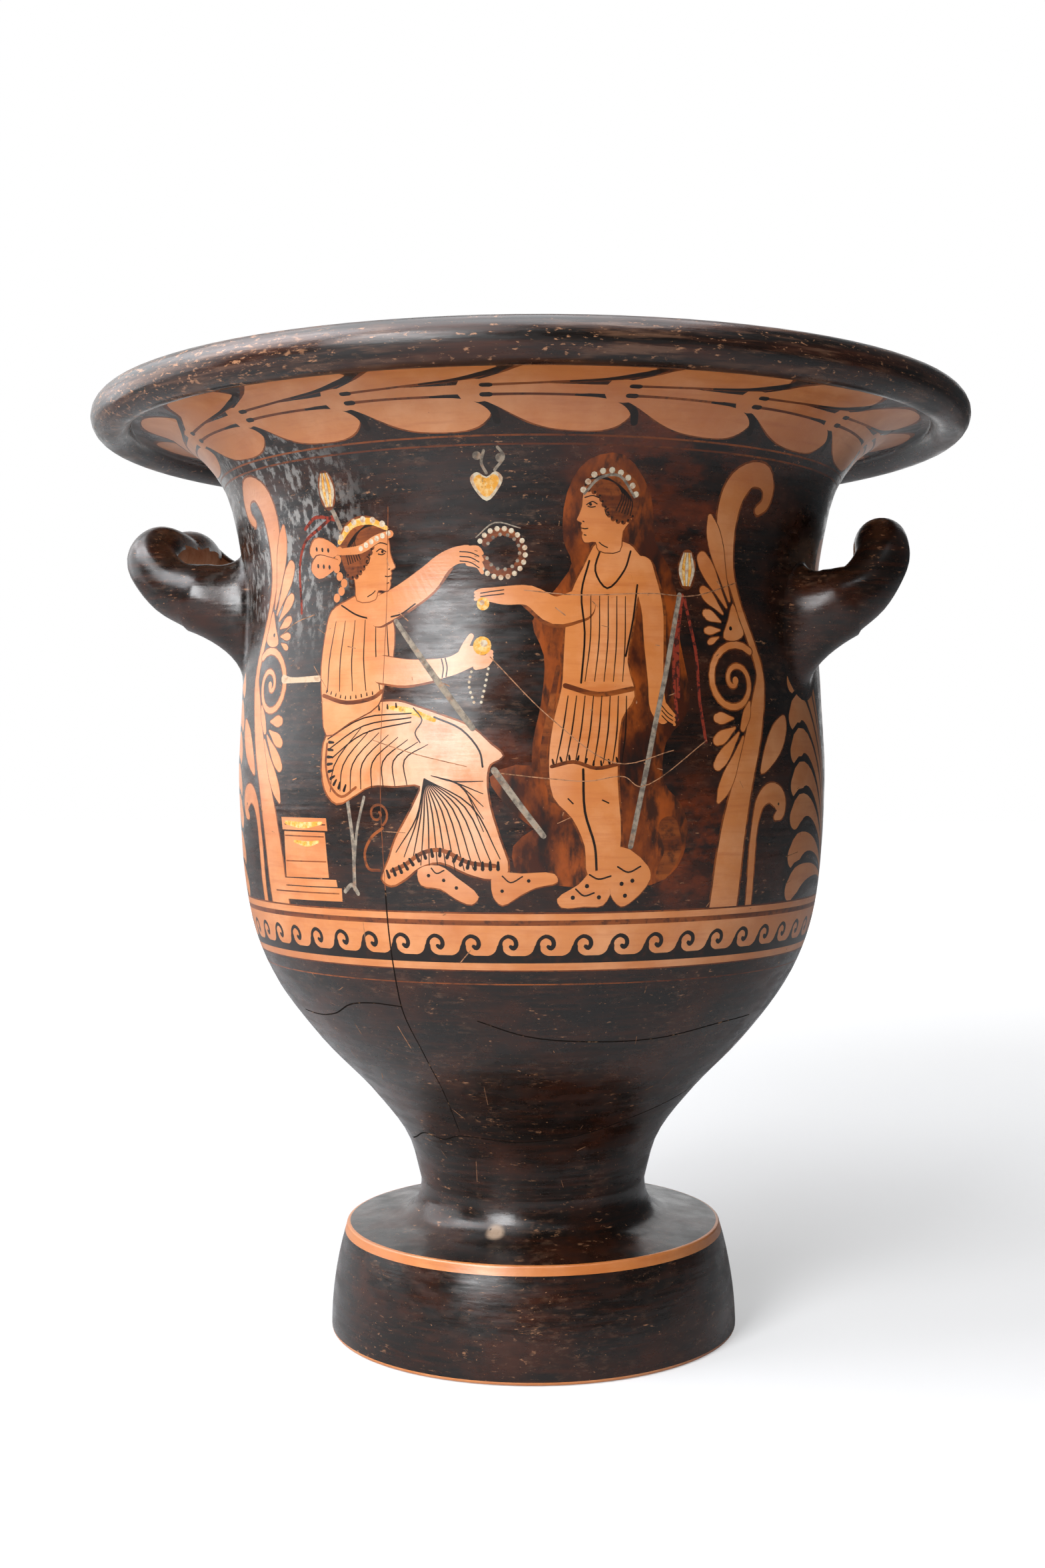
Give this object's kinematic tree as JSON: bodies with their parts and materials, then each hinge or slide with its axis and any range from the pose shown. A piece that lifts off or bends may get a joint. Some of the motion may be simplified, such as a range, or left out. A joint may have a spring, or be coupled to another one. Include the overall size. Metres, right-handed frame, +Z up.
{
  "type": "bell krater",
  "caption": "Ancient fired-clay bell krater: deep bowl with flaring mouth and rolled lip, upturned loop handles, short stem and heavy disc foot; painted in reserved clay on black slip.",
  "frame": {"origin": "centre of the foot's underside, on the surface that the krater stands on", "axes": "+Z up along the turning axis, the handles on +X and -X, the pictured side facing -Y"},
  "size_m": [0.3504, 0.3504, 0.3716],
  "materials": {
    "slip_painted_clay": "black gloss slip with reserved orange clay, unglazed, worn"
  },
  "bodies": {
    "root": {"krater": "slip_painted_clay"}
  },
  "joints": []
}
